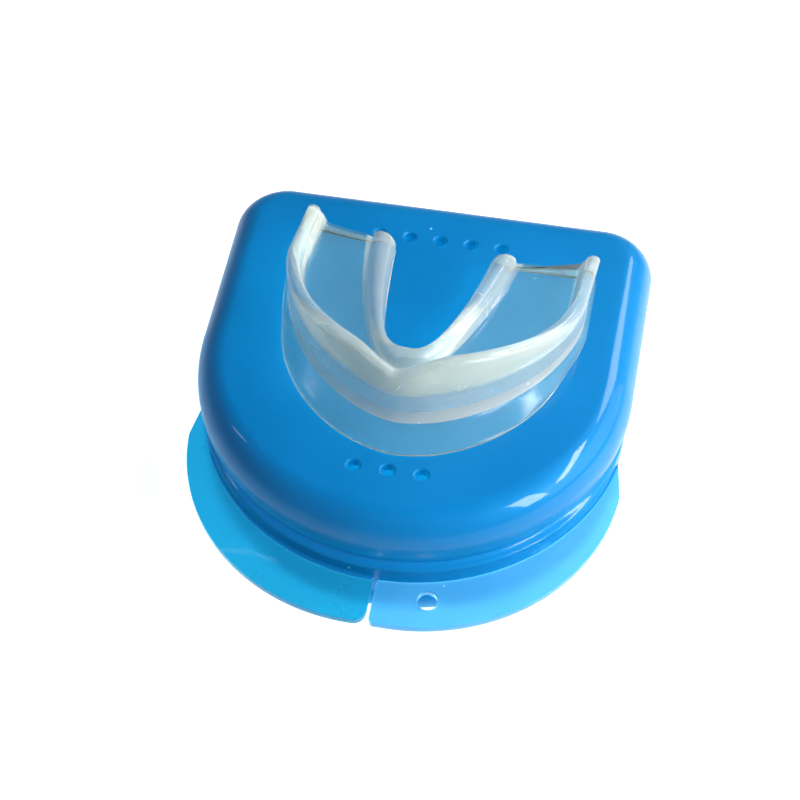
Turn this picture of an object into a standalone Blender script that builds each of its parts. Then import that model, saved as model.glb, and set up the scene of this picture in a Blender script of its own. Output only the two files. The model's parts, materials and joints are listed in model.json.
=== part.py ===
# Mouthguard with its case: a D-shaped snap case whose lid turns on two pins at the flat back,
# and a clear boil-and-bite mouthguard lying on the closed lid.
# Metres, +Z up, the round front of the case towards -Y, the case standing on its base at z = 0.

import math

import bmesh
import bpy
from mathutils import Matrix, Vector

# Case, seen from above.
CASE_WIDTH = 0.0820          # at the back corners
SIDE_TAPER = 0.0010          # how much nearer the centre line each side is at the round front
CASE_DEPTH = 0.0783          # round front to flat back, without tabs and hinge
CORNER_RADIUS = 0.0102       # the two back corners
FRONT_STEPS = 36             # segments of the round front
CORNER_STEPS = 6

# Case, seen from the side.
BASE_HEIGHT = 0.0119         # floor to the middle of the joint between the shells
LID_HEIGHT = 0.0168          # middle of the joint to the top of the lid
RIM_GAP = 0.0003             # between the two rims, and wherever two pieces nearly touch
WALL = 0.0016
COLLAR_WALL = 0.0014
COLLAR_INSET = 0.0003        # collar beside the joint, set in from the widest outline
COLLAR_HEIGHT = 0.0036
GROOVE_INSET = 0.0017        # soft groove between collar and dome
GROOVE_DROP = 0.0009         # edge of the collar to the bottom of the groove
GROOVE_SHAPE = ((0.0, -0.45), (0.2, 0.1), (0.75, 0.45), (1.0, 1.0))   # its inset and drop, as shares
DOME_SHAPE = ((0.75, 0.25), (0.35, 0.6), (0.05, 1.0))   # from the groove out again: inset and height
DOME_UPRIGHT = 0.00115       # upright part of the dome, under its rounded upper edge
SHOULDER_RUN = 0.0056        # rounded upper edge of the lid
SHOULDER_RISE = 0.0066
FOOT_SHAPE = ((0.75, 0.34),)  # from the groove to the foot of the base: inset and height
FOOT_INSET = 0.0005          # foot of the base, set in from the widest outline
FOOT_RUN = 0.0048            # rounded lower edge of the base
FOOT_RISE = 0.0040
SHOULDER_STEPS = 6

# Lip of the base, which the lid's collar closes over.
LIP_HEIGHT = 0.0025
LIP_THICKNESS = 0.0013
LIP_CLEARANCE = 0.0003

# Opening tabs: two halves of one crescent round the front, one on each shell.
TAB_THICKNESS = 0.0013
TAB_REACH = 0.0085           # past the front of the case
TAB_SIDE_REACH = 0.00025     # past the sides of the round front
TAB_CENTRE_X = 0.00315       # each half's arc is centred this far off the centre line
TAB_OVERLAP = 0.0008         # how far a tab runs into its shell's wall
TAB_SPLIT = 0.0006           # gap between the two halves
TAB_EDGE = 0.0003            # rounding of the tab's edges
LID_TAB_CORNER = 0.0023
BASE_TAB_CORNER = 0.0009
TAB_END_ANGLE = -6           # where each half's arc ends, in degrees below the X axis
TAB_STEPS = 14
TAB_CORNER_STEPS = 5
RELIEF_RADIUS = 0.0005       # small round end of the split
EYE_RADIUS = 0.00175         # hole in the base's tab
EYE_X = 0.0096
EYE_SETBACK = 0.0060         # centre to the front of the tab

# Air holes in the top of the lid.
VENT_RADIUS = 0.0011
VENT_PITCH = 0.0059
BACK_VENTS = 5
FRONT_VENTS = 3
BACK_VENT_SETBACK = 0.0117   # row to the back of the case
FRONT_VENT_SETBACK = 0.0120  # row to the front of the case

# Hinge: at each side a lid knuckle turns on a pin between two base knuckles.
HINGE_OFFSET = 0.0200        # centre line of the case to the middle of each hinge
KNUCKLE_RADIUS = 0.0024
KNUCKLE_GAP = 0.0004
KNUCKLE_STEPS = 18
LID_KNUCKLE_LENGTH = 0.0050
BASE_KNUCKLE_LENGTH = 0.0035
PIN_RADIUS = 0.0010
PIN_CLEARANCE = 0.00015
PIN_EDGE = 0.0002
ROUND_STEPS = 24             # sides of every pin and drilled hole

# Mouthguard: sections run from the front centre, station 0, to the rear end of an arm, station 1.
GUARD_HALF_WIDTH = 0.0274    # centre line to the outer face at the bite plate
GUARD_FRONT = 0.0293         # front of the arch to its widest line
GUARD_SQUARENESS = 1.7       # exponent of the front curve, where 2 is an ellipse
SHIELD_ARM = 0.0129          # widest line to the rear end of the outer wall
SHIELD_TOE_IN = 0.0004       # how much nearer the centre line that rear end is
BEAD_ARM = 0.0107            # widest line to the rear end of the inner wall
PLATE_DEPTH = 0.0118         # outer face to inner face, at the front
TONGUE_HALF_WIDTH = 0.0093   # half of the opening between the arms, at the rear
TONGUE_SQUARENESS = 3.0      # exponent of the opening's curve, where 2 is a parabola
TONGUE_SHIFT = 0.0010        # the opening lies this far left of the guard's centre line
PLATE_THICKNESS = 0.0024
SHIELD_THICKNESS = 0.0026    # outer wall at its top
SKIRT_THICKNESS = 0.0011     # thin lower edge
GUARD_SECTIONS = 20          # on each arm
GUARD_END_ROUNDING = 0.0004
RIM_STEPS = 6                # round top of each wall
CURVE_STEPS = 120            # samples that the sections' places are read from
PLATE_LIFT = {0: 0.0030, 0.3: 0.0028, 0.6: 0.0022, 1: 0.0012}
BEAD_THICKNESS = {0: 0.0030, 0.4: 0.0031, 0.75: 0.0038, 1: 0.0044}
SHIELD_TOP = {0: 0.0134, 0.05: 0.0143, 0.15: 0.0155, 0.3: 0.0148, 0.6: 0.0112, 1: 0.0074}
SHIELD_LEAN = {0: 0.0008, 0.15: 0.0013, 0.3: 0.0010, 0.5: 0.0004, 0.7: 0.0, 1: -0.0009}
BEAD_TOP = {0: 0.0093, 0.3: 0.0088, 0.6: 0.0073, 1: 0.0056}
SKIRT_FLARE = {0: 0.0051, 0.15: 0.0050, 0.3: 0.0043, 0.45: 0.0030, 0.6: 0.0012, 0.8: 0.0007, 1: 0.0006}

# Where the mouthguard lies on the lid.
GUARD_TURN = math.radians(-4)
GUARD_SHIFT_X = 0.0018
GUARD_SETBACK = 0.0495       # front of the case to the widest line of the guard

# Places that follow from the sizes above.
HINGE_REACH = KNUCKLE_GAP + 2 * KNUCKLE_RADIUS - COLLAR_INSET
FRONT_Y = (TAB_REACH - CASE_DEPTH - HINGE_REACH) / 2
BACK_Y = FRONT_Y + CASE_DEPTH
HALF_WIDTH = CASE_WIDTH / 2
FRONT_RADIUS = HALF_WIDTH - SIDE_TAPER
ARC_CENTRE_Y = FRONT_Y + FRONT_RADIUS
TAB_FRONT_Y = FRONT_Y - TAB_REACH
TAB_RADIUS = FRONT_RADIUS + TAB_SIDE_REACH - TAB_CENTRE_X
HINGE_Y = BACK_Y + HINGE_REACH - KNUCKLE_RADIUS
JOINT_Z = BASE_HEIGHT
LID_RIM_Z = JOINT_Z + RIM_GAP / 2
BASE_RIM_Z = JOINT_Z - RIM_GAP / 2
LID_TOP_Z = JOINT_Z + LID_HEIGHT
COLLAR_INNER = COLLAR_INSET + COLLAR_WALL
LIP_OUTER = COLLAR_INNER + LIP_CLEARANCE
LIP_INNER = LIP_OUTER + LIP_THICKNESS
MERGE = 0.000001


def empty_scene():
    for item in list(bpy.data.objects):
        bpy.data.objects.remove(item, do_unlink=True)


def make_collection(name):
    collection = bpy.data.collections.new(name)
    bpy.context.scene.collection.children.link(collection)
    return collection


def make_material(name, colour, roughness, transmission):
    material = bpy.data.materials.new(name)
    material.use_nodes = True
    shader = material.node_tree.nodes["Principled BSDF"]
    shader.inputs["Base Color"].default_value = (*colour, 1)
    shader.inputs["Roughness"].default_value = roughness
    shader.inputs["Metallic"].default_value = 0
    shader.inputs["Transmission Weight"].default_value = transmission
    return material


def add_object(name, mesh, collection):
    item = bpy.data.objects.new(name, mesh)
    collection.objects.link(item)
    return item


def mark_as_tool(item):
    item.hide_render = True
    item.display_type = "WIRE"
    return item


def combine(target, operation, tool):
    modifier = target.modifiers.new(tool.name, "BOOLEAN")
    modifier.solver = "EXACT"
    modifier.operation = operation
    modifier.object = tool


def set_origin(item, point):
    item.data.transform(Matrix.Translation(-Vector(point)))
    item.location = point


def shade(item, material):
    item.data.materials.append(material)
    item.data.shade_smooth()
    item.data.set_sharp_from_angle(angle=math.radians(35))


def arc(centre, radius, start, end, steps):
    """Points of an arc; radius is one number, or one for each direction."""
    radius_x, radius_y = radius if isinstance(radius, tuple) else (radius, radius)
    angles = [math.radians(start + (end - start) * i / steps) for i in range(steps + 1)]
    return [(centre[0] + radius_x * math.cos(a), centre[1] + radius_y * math.sin(a)) for a in angles]


def loft(name, rings, collection):
    """Closed solid through rings of points, with a flat face on the first and the last ring."""
    bm = bmesh.new()
    rows = [[bm.verts.new(point) for point in ring] for ring in rings]
    count = len(rows[0])
    for lower, upper in zip(rows, rows[1:]):
        for i in range(count):
            j = (i + 1) % count
            bm.faces.new((lower[i], lower[j], upper[j], upper[i]))
    bm.faces.new(rows[0])
    bm.faces.new(rows[-1])
    bmesh.ops.recalc_face_normals(bm, faces=bm.faces)
    mesh = bpy.data.meshes.new(name)
    bm.to_mesh(mesh)
    bm.free()
    return add_object(name, mesh, collection)


def plate(name, outline, thickness, collection):
    """Flat solid of an outline drawn in x and y, centred on z = 0."""
    curve = bpy.data.curves.new(name, "CURVE")
    curve.dimensions = "2D"
    curve.fill_mode = "BOTH"
    curve.extrude = thickness / 2
    spline = curve.splines.new("POLY")
    spline.points.add(len(outline) - 1)
    for point, (x, y) in zip(spline.points, outline):
        point.co = (x, y, 0, 1)
    spline.use_cyclic_u = True
    drawing = add_object(name + "_drawing", curve, collection)
    evaluated = drawing.evaluated_get(bpy.context.evaluated_depsgraph_get())
    mesh = bpy.data.meshes.new_from_object(evaluated)
    bpy.data.objects.remove(drawing, do_unlink=True)
    bm = bmesh.new()
    bm.from_mesh(mesh)
    bmesh.ops.remove_doubles(bm, verts=bm.verts, dist=MERGE)
    bmesh.ops.recalc_face_normals(bm, faces=bm.faces)
    bm.to_mesh(mesh)
    bm.free()
    return add_object(name, mesh, collection)


def rods(name, radius, length, places, axis, collection):
    """One mesh of equal rods, each centred on a place and running along an axis."""
    bm = bmesh.new()
    turn = Vector((0, 0, 1)).rotation_difference(Vector(axis)).to_matrix().to_4x4()
    for place in places:
        bmesh.ops.create_cone(
            bm, cap_ends=True, segments=ROUND_STEPS, radius1=radius, radius2=radius, depth=length,
            matrix=Matrix.Translation(place) @ turn)
    mesh = bpy.data.meshes.new(name)
    bm.to_mesh(mesh)
    bm.free()
    return add_object(name, mesh, collection)


def round_edges(item, width, segments):
    modifier = item.modifiers.new("edges", "BEVEL")
    modifier.width = width
    modifier.segments = segments
    modifier.limit_method = "ANGLE"
    modifier.angle_limit = math.radians(50)


def d_outline(inset):
    """The case's D outline, set in by inset: round front, straight sides, flat back."""
    corner = max(CORNER_RADIUS - inset, RIM_GAP)
    across = HALF_WIDTH - inset - corner
    back = BACK_Y - inset - corner
    points = arc((0, ARC_CENTRE_Y), FRONT_RADIUS - inset, 180, 360, FRONT_STEPS)
    points += arc((across, back), corner, 0, 90, CORNER_STEPS)
    points += arc((-across, back), corner, 90, 180, CORNER_STEPS)
    return points


def shell(name, profile, collection):
    """Solid through D outlines, one for each (inset, z) of the profile."""
    rings = [[(x, y, z) for x, y in d_outline(inset)] for inset, z in profile]
    return loft(name, rings, collection)


def collar_profile(rim_z, end_z, up, shape):
    """Outer face from the rim over the collar and the groove, and by a shape to end_z.

    up is 1 on the lid and -1 on the base."""
    collar_z = rim_z + up * COLLAR_HEIGHT
    groove_z = collar_z + up * GROOVE_DROP
    points = [(COLLAR_INSET, rim_z)]
    for inset, drop in GROOVE_SHAPE:
        points.append((max(inset * GROOVE_INSET, COLLAR_INSET), collar_z + up * drop * GROOVE_DROP))
    for inset, height in shape:
        points.append((inset * GROOVE_INSET, groove_z + height * (end_z - groove_z)))
    return points


def lid_profile():
    """Profile of the lid shell from the middle of its ceiling round the rim to the top face."""
    shoulder_z = LID_TOP_Z - SHOULDER_RISE
    jog_z = LID_RIM_Z + LIP_HEIGHT
    outer = collar_profile(LID_RIM_Z, shoulder_z - DOME_UPRIGHT, 1, DOME_SHAPE)
    outer += arc((SHOULDER_RUN, shoulder_z), (SHOULDER_RUN, SHOULDER_RISE), 180, 90, SHOULDER_STEPS)
    inner_shape = (SHOULDER_RUN - WALL / 2, SHOULDER_RISE - WALL)
    inner = arc((WALL + inner_shape[0], shoulder_z), inner_shape, 90, 180, SHOULDER_STEPS)
    inner += [
        (LIP_INNER, jog_z + GROOVE_DROP + WALL),
        (LIP_INNER, jog_z + WALL / 2),
        (COLLAR_INNER, jog_z),
        (COLLAR_INNER, LID_RIM_Z),
    ]
    return inner + outer


def base_profile():
    """Profile of the base shell from the middle of its floor round the lip to the bottom face."""
    lip_z = BASE_RIM_Z + LIP_HEIGHT - RIM_GAP
    outer = collar_profile(BASE_RIM_Z, FOOT_RISE, -1, FOOT_SHAPE)
    outer += arc((FOOT_INSET + FOOT_RUN, FOOT_RISE), (FOOT_RUN, FOOT_RISE), 180, 270, SHOULDER_STEPS)
    inner_shape = (FOOT_RUN - WALL / 2, FOOT_RISE - WALL)
    inner_start = (FOOT_INSET + WALL + inner_shape[0], FOOT_RISE)
    inner = arc(inner_start, inner_shape, 270, 180, SHOULDER_STEPS)
    inner += [
        (LIP_INNER, FOOT_RISE + LIP_INNER - FOOT_INSET - WALL / 2),
        (LIP_INNER, lip_z),
        (LIP_OUTER + RIM_GAP, lip_z),
        (LIP_OUTER, lip_z - 2 * RIM_GAP),
        (LIP_OUTER, BASE_RIM_Z),
    ]
    return inner + outer


def tab_outline(side, corner):
    """Half of the crescent, side = -1 on the left, 1 on the right, its split corner rounded."""
    split_x = TAB_SPLIT / 2
    centre = (TAB_CENTRE_X, TAB_FRONT_Y + TAB_RADIUS)
    inset = COLLAR_INSET + TAB_OVERLAP
    wall_radius = FRONT_RADIUS - inset
    points = arc((split_x + corner, TAB_FRONT_Y + corner), corner, 180, 270, TAB_CORNER_STEPS)
    points += arc(centre, TAB_RADIUS, -90, TAB_END_ANGLE, TAB_STEPS)
    points += arc((0, ARC_CENTRE_Y), wall_radius, TAB_END_ANGLE, -90, TAB_STEPS)[:-1]
    points.append((split_x, ARC_CENTRE_Y - wall_radius))
    return [(side * x, y) for x, y in points]


def add_tab(target, side, corner, tools):
    """Join half of the crescent to a shell, with room for the other shell's collar."""
    name = target.name + "_tab"
    tab = mark_as_tool(plate(name, tab_outline(side, corner), TAB_THICKNESS, tools))
    tab.location.z = JOINT_Z
    round_edges(tab, TAB_EDGE, 2)
    relief_place = (0, FRONT_Y + COLLAR_INSET - RELIEF_RADIUS, JOINT_Z)
    relief = rods(name + "_relief", RELIEF_RADIUS, 2 * TAB_THICKNESS, [relief_place], (0, 0, 1), tools)
    combine(tab, "DIFFERENCE", mark_as_tool(relief))
    up = -side
    outline = d_outline(COLLAR_INSET - RIM_GAP)
    room = mark_as_tool(plate(name + "_room", outline, BASE_HEIGHT, tools))
    room.location.z = JOINT_Z + up * (RIM_GAP - BASE_HEIGHT) / 2
    combine(tab, "DIFFERENCE", room)
    combine(target, "UNION", tab)


def knuckle_outline(up):
    """Side view of a knuckle and its arm: x along the case's depth, y along its height."""
    wall = BACK_Y - COLLAR_INSET - TAB_OVERLAP - HINGE_Y
    ring = arc((0, 0), KNUCKLE_RADIUS, 90, -180, KNUCKLE_STEPS)
    points = [(wall, KNUCKLE_RADIUS)] + ring
    points += [(-KNUCKLE_RADIUS, RIM_GAP), (wall, RIM_GAP)]
    return [(y, up * z) for y, z in points]


def add_knuckles(target, up, length, places, tools):
    """Join knuckles to a shell at the given places along X."""
    for number, x in enumerate(places):
        knuckle = plate(f"{target.name}_knuckle_{number}", knuckle_outline(up), length, tools)
        upright = Matrix(((0, 0, 1, x), (1, 0, 0, HINGE_Y), (0, 1, 0, JOINT_Z), (0, 0, 0, 1)))
        knuckle.data.transform(upright)
        combine(target, "UNION", mark_as_tool(knuckle))


def bore_knuckles(target, length, tools):
    places = [(side * HINGE_OFFSET, HINGE_Y, JOINT_Z) for side in (-1, 1)]
    bore = rods(target.name + "_bores", PIN_RADIUS + PIN_CLEARANCE, length, places, (1, 0, 0), tools)
    combine(target, "DIFFERENCE", mark_as_tool(bore))


def hinge_span():
    return LID_KNUCKLE_LENGTH + 2 * (KNUCKLE_GAP + BASE_KNUCKLE_LENGTH)


def vent_places():
    rows = [(BACK_VENTS, BACK_Y - BACK_VENT_SETBACK), (FRONT_VENTS, FRONT_Y + FRONT_VENT_SETBACK)]
    places = []
    for count, y in rows:
        for i in range(count):
            places.append(((i - (count - 1) / 2) * VENT_PITCH, y, LID_TOP_Z))
    return places


def make_lid(parts, tools, material):
    lid = shell("case_lid", lid_profile(), parts)
    add_tab(lid, -1, LID_TAB_CORNER, tools)
    add_knuckles(lid, 1, LID_KNUCKLE_LENGTH, [-HINGE_OFFSET, HINGE_OFFSET], tools)
    bore_knuckles(lid, hinge_span(), tools)
    vents = rods("vent_drills", VENT_RADIUS, 4 * WALL, vent_places(), (0, 0, 1), tools)
    combine(lid, "DIFFERENCE", mark_as_tool(vents))
    set_origin(lid, (0, HINGE_Y, JOINT_Z))
    shade(lid, material)


def make_base(parts, tools, material):
    base = shell("case_base", base_profile(), parts)
    add_tab(base, 1, BASE_TAB_CORNER, tools)
    beside = (LID_KNUCKLE_LENGTH + BASE_KNUCKLE_LENGTH) / 2 + KNUCKLE_GAP
    places = [side * HINGE_OFFSET + step for side in (-1, 1) for step in (-beside, beside)]
    add_knuckles(base, -1, BASE_KNUCKLE_LENGTH, places, tools)
    bore_knuckles(base, hinge_span() + 2 * RIM_GAP, tools)
    eye_place = (EYE_X, TAB_FRONT_Y + EYE_SETBACK, JOINT_Z)
    eye = rods("eye_drill", EYE_RADIUS, 3 * TAB_THICKNESS, [eye_place], (0, 0, 1), tools)
    combine(base, "DIFFERENCE", mark_as_tool(eye))
    shade(base, material)


def make_pins(parts, material):
    for side, name in ((-1, "hinge_pin_left"), (1, "hinge_pin_right")):
        place = (side * HINGE_OFFSET, HINGE_Y, JOINT_Z)
        pin = rods(name, PIN_RADIUS, hinge_span() - 2 * RIM_GAP, [place], (1, 0, 0), parts)
        set_origin(pin, place)
        round_edges(pin, PIN_EDGE, 1)
        shade(pin, material)


def along(stations, where):
    """Smooth value at a place between the stations of a table, level at the first."""
    keys = sorted(stations)
    values = [stations[key] for key in keys]
    slopes = []
    for i in range(len(keys)):
        before = max(i - 1, 0)
        after = min(i + 1, len(keys) - 1)
        slopes.append((values[after] - values[before]) / (keys[after] - keys[before]))
    slopes[0] = 0
    i = max(k for k in range(len(keys) - 1) if keys[k] <= where or k == 0)
    span = keys[i + 1] - keys[i]
    t = (where - keys[i]) / span
    start = (1 + 2 * t) * (1 - t) ** 2 * values[i] + t * (1 - t) ** 2 * span * slopes[i]
    end = t * t * (3 - 2 * t) * values[i + 1] + t * t * (t - 1) * span * slopes[i + 1]
    return start + end


def evenly_spaced(points, count):
    """Points spaced evenly by length along a path."""
    lengths = [0]
    for a, b in zip(points, points[1:]):
        lengths.append(lengths[-1] + math.dist(a, b))
    result = []
    k = 0
    for i in range(count + 1):
        target = lengths[-1] * i / count
        while k < len(points) - 2 and lengths[k + 1] < target:
            k += 1
        share = (target - lengths[k]) / (lengths[k + 1] - lengths[k])
        result.append(Vector(points[k]).lerp(Vector(points[k + 1]), share))
    return result


def guard_curves(side):
    """Plan of one arm: outer face at the bite plate, and inner face, section by section."""
    power = 2 / GUARD_SQUARENESS
    outer = []
    for i in range(CURVE_STEPS + 1):
        angle = math.pi / 2 * i / CURVE_STEPS
        x = GUARD_HALF_WIDTH * math.sin(angle) ** power
        y = -GUARD_FRONT * max(math.cos(angle), 0) ** power
        outer.append((x, y))
    outer.append((GUARD_HALF_WIDTH - SHIELD_TOE_IN, SHIELD_ARM))
    inner = []
    inner_front = PLATE_DEPTH - GUARD_FRONT
    for i in range(CURVE_STEPS + 1):
        share = i / CURVE_STEPS
        rise = share ** TONGUE_SQUARENESS
        x = TONGUE_HALF_WIDTH * share - side * TONGUE_SHIFT
        inner.append((x, inner_front + (BEAD_ARM - inner_front) * rise))
    return evenly_spaced(outer, GUARD_SECTIONS), evenly_spaced(inner, GUARD_SECTIONS)


def guard_section(station, width):
    """Section of the guard: (distance in from the outer face, height), all the way round."""
    lift = along(PLATE_LIFT, station)
    floor = lift + PLATE_THICKNESS
    top = along(SHIELD_TOP, station)
    lean = along(SHIELD_LEAN, station)
    flare = along(SKIRT_FLARE, station)
    bead = along(BEAD_TOP, station)
    shield_radius = SHIELD_THICKNESS / 2
    bead_wall = along(BEAD_THICKNESS, station)
    bead_radius = bead_wall / 2
    middle = (floor + top) / 2
    points = [
        (-flare, 0),
        (-flare - 0.2 * SKIRT_THICKNESS, 0.5 * SKIRT_THICKNESS),
        (-0.55 * flare, 0.5 * lift + 0.4 * SKIRT_THICKNESS),
        (-0.15 * flare, 0.85 * lift + 0.6 * SKIRT_THICKNESS),
        (0.1 * lean, floor),
        (0.5 * lean, middle),
    ]
    points += arc((lean + shield_radius, top - shield_radius), shield_radius, 180, 0, RIM_STEPS)
    points += [
        (0.6 * lean + 1.08 * SHIELD_THICKNESS, middle),
        (0.3 * lean + 1.2 * SHIELD_THICKNESS, 0.7 * floor + 0.3 * middle),
        (0.3 * lean + 1.5 * SHIELD_THICKNESS, floor),
    ]
    bead_foot = width - 1.55 * bead_wall
    points += [
        ((points[-1][0] + bead_foot) / 2, floor - 0.05 * PLATE_THICKNESS),
        (bead_foot, floor),
        (width - 1.3 * bead_wall, 0.6 * floor + 0.4 * (bead - bead_radius)),
    ]
    points += arc((width - 1.1 * bead_radius, bead - bead_radius), bead_radius, 180, 0, RIM_STEPS)[:-1]
    points += [
        (width, (lift + bead) / 2),
        (width, lift + 0.25 * PLATE_THICKNESS),
        (width - 0.25 * PLATE_THICKNESS, lift),
        ((width + SHIELD_THICKNESS) / 2, lift),
        (0.9 * SHIELD_THICKNESS, lift),
        (-0.1 * flare + 0.8 * SKIRT_THICKNESS, 0.75 * lift),
        (-0.55 * flare + 0.9 * SKIRT_THICKNESS, 0.4 * lift),
        (-flare + 0.8 * SKIRT_THICKNESS, 0),
    ]
    return points


def set_in(section, amount):
    """The section moved in by an amount, square to its own edge."""
    count = len(section)
    result = []
    for i in range(count):
        before = Vector(section[i - 1])
        after = Vector(section[(i + 1) % count])
        edge = (after - before).normalized()
        result.append(Vector(section[i]) + amount * Vector((edge.y, -edge.x)))
    return result


def stand_section(section, outer, inner, side, forward):
    """Put a section into the arch, side = -1 or 1, moved along the arm by forward."""
    inward = (inner - outer).normalized()
    along_arm = Vector((-inward.y, inward.x)) * (-1 if inward.x < 0 else 1)
    start = outer + along_arm * forward
    return [(side * (start.x + inward.x * u), start.y + inward.y * u, z) for u, z in section]


def guard_arm(side):
    """Sections from the front centre to the rounded rear end of one arm."""
    outer, inner = guard_curves(side)
    rings = []
    for i, (a, b) in enumerate(zip(outer, inner)):
        section = guard_section(i / GUARD_SECTIONS, (b - a).length)
        rings.append(stand_section(section, a, b, side, 0))
    for angle in (45, 90):
        turn = math.radians(angle)
        rounded = set_in(section, GUARD_END_ROUNDING * (1 - math.cos(turn)))
        forward = -GUARD_END_ROUNDING * math.sin(turn)
        rings.append(stand_section(rounded, a, b, side, forward))
    return rings


def make_guard(parts, material):
    rings = guard_arm(-1)[:0:-1] + guard_arm(1)
    guard = loft("mouthguard", rings, parts)
    guard.rotation_euler.z = GUARD_TURN
    guard.location = (GUARD_SHIFT_X, FRONT_Y + GUARD_SETBACK, LID_TOP_Z + RIM_GAP)
    shade(guard, material)


def main():
    empty_scene()
    parts = make_collection("mouthguard_with_case")
    tools = make_collection("tools")
    case_blue = make_material("case_blue_plastic", (0.0, 0.16, 0.55), 0.15, 0.3)
    pin_plastic = make_material("hinge_pin_plastic", (0.0, 0.12, 0.42), 0.3, 0.0)
    guard_clear = make_material("guard_clear_plastic", (0.75, 0.80, 0.78), 0.2, 0.8)
    make_base(parts, tools, case_blue)
    make_lid(parts, tools, case_blue)
    make_pins(parts, pin_plastic)
    make_guard(parts, guard_clear)


main()
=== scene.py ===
import json
import math

import bmesh
import bpy
from mathutils import Matrix, Quaternion, Vector


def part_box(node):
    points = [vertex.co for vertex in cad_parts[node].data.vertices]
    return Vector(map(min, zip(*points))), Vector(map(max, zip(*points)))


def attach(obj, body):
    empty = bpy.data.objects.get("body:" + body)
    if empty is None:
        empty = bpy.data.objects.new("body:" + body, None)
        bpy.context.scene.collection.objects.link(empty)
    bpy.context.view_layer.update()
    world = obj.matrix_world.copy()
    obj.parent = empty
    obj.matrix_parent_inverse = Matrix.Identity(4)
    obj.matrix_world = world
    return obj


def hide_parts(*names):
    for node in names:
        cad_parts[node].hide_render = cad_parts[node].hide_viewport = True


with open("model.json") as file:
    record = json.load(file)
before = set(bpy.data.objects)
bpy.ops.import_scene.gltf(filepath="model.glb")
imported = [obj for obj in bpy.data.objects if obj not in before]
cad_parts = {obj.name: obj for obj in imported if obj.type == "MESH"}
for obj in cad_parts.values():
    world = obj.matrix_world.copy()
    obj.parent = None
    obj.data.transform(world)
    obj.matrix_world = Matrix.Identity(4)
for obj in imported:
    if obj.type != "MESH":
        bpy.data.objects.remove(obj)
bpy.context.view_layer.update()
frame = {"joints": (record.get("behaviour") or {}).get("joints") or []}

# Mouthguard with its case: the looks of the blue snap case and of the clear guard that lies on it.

print("model loaded")

# places that come from the model
lidLow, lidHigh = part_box("case_lid")
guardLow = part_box("mouthguard")[0]
pinLow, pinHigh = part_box("hinge_pin_right")
hinge = Vector(next(j for j in frame["joints"] if j["name"] == "lid_hinge")["pos_m"])

caseForm = {
    "sideTaper": 0.0010,       # how much nearer the centre line the sides are at the round front
    "cornerRadius": 0.0102,    # the two back corners
    "collarInset": 0.0003,
    "collarWall": 0.0014,
    "collarHeight": 0.0036,
    "rimGap": 0.0003,          # parting line, and the gaps beside the lip
    "rimEdge": 0.00018,        # rounding of the collar at the parting line
    "wall": 0.0016,
    "grooveInset": 0.0017,     # depth of the groove beside the collar
    "grooveDrop": 0.0009,
    "domeUpright": 0.00115,
    "shoulderRun": 0.0056,     # rounded upper edge of the lid
    "shoulderRise": 0.0066,
    "footInset": 0.0005,
    "footRun": 0.0048,         # rounded lower edge of the base
    "footRise": 0.0040,
    "lipHeight": 0.0025,
    "lipThickness": 0.0013,
    "frontSteps": 170,
    "cornerSteps": 24,
    "edgeSteps": 16,
}
tabForm = {
    "thickness": 0.0013,
    "reach": 0.0085,           # past the front of the case
    "roomDepth": 0.0119,       # cleared inside the case, above or below the parting line
    "sideReach": 0.00025,
    "centreX": 0.00315,        # each half's arc is centred this far off the centre line
    "overlap": 0.0008,
    "split": 0.0006,           # gap between the two halves
    "lidCorner": 0.0023,       # rounded corner of the left half at the split
    "baseCorner": 0.0009,
    "lidEdge": 0.00042,        # rounding of the left half's edges
    "baseEdge": 0.00028,
    "reliefRadius": 0.0005,
    "endAngle": -6,
    "fillet": 0.0009,          # soft corner between the left half and the collar
    "filletSink": 0.0002,
    "filletSweep": 62,         # degrees round the front
    "filletFadeFrom": 0.6,
    "filletFade": 0.75,
    "eyeRadius": 0.00175,
    "eyeRim": 0.0002,
    "eyeX": 0.0096,
    "eyeSetback": 0.0060,
    "steps": 90,
}
ventForm = {
    "radius": 0.0011,
    "flare": 0.00045,          # rounding of the rim of each hole
    "pitch": 0.0059,
    "back": 5,
    "front": 3,
    "backSetback": 0.0117,
    "frontSetback": 0.0120,
}
hingeForm = {
    "offset": 0.0200,
    "knuckleGap": 0.0004,
    "lidLength": 0.0050,
    "baseLength": 0.0035,
    "pinClearance": 0.00015,
    "pinEdge": 0.0002,
    "edge": 0.00015,
}

jointZ = hinge.z
lidTopZ = lidHigh.z
halfWidth = lidHigh.x
tabFrontY = lidLow.y
knuckleRadius = lidHigh.y - hinge.y
frontY = tabFrontY + tabForm["reach"]
backY = hinge.y - knuckleRadius - hingeForm["knuckleGap"] + caseForm["collarInset"]
frontRadius = halfWidth - caseForm["sideTaper"]
arcCentreY = frontY + frontRadius
lidRimZ = jointZ + caseForm["rimGap"] / 2
baseRimZ = jointZ - caseForm["rimGap"] / 2
collarInner = caseForm["collarInset"] + caseForm["collarWall"]
lipOuter = collarInner + caseForm["rimGap"]
lipInner = lipOuter + caseForm["lipThickness"]
pinRadius = (pinHigh.z - pinLow.z) / 2


# mesh helpers
def arcPoints(centre, radius, start, end, steps):
    radiusX, radiusY = radius if isinstance(radius, tuple) else (radius, radius)
    angles = [math.radians(start + (end - start) * i / steps) for i in range(steps + 1)]
    return [(centre[0] + radiusX * math.cos(a), centre[1] + radiusY * math.sin(a)) for a in angles]


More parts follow.
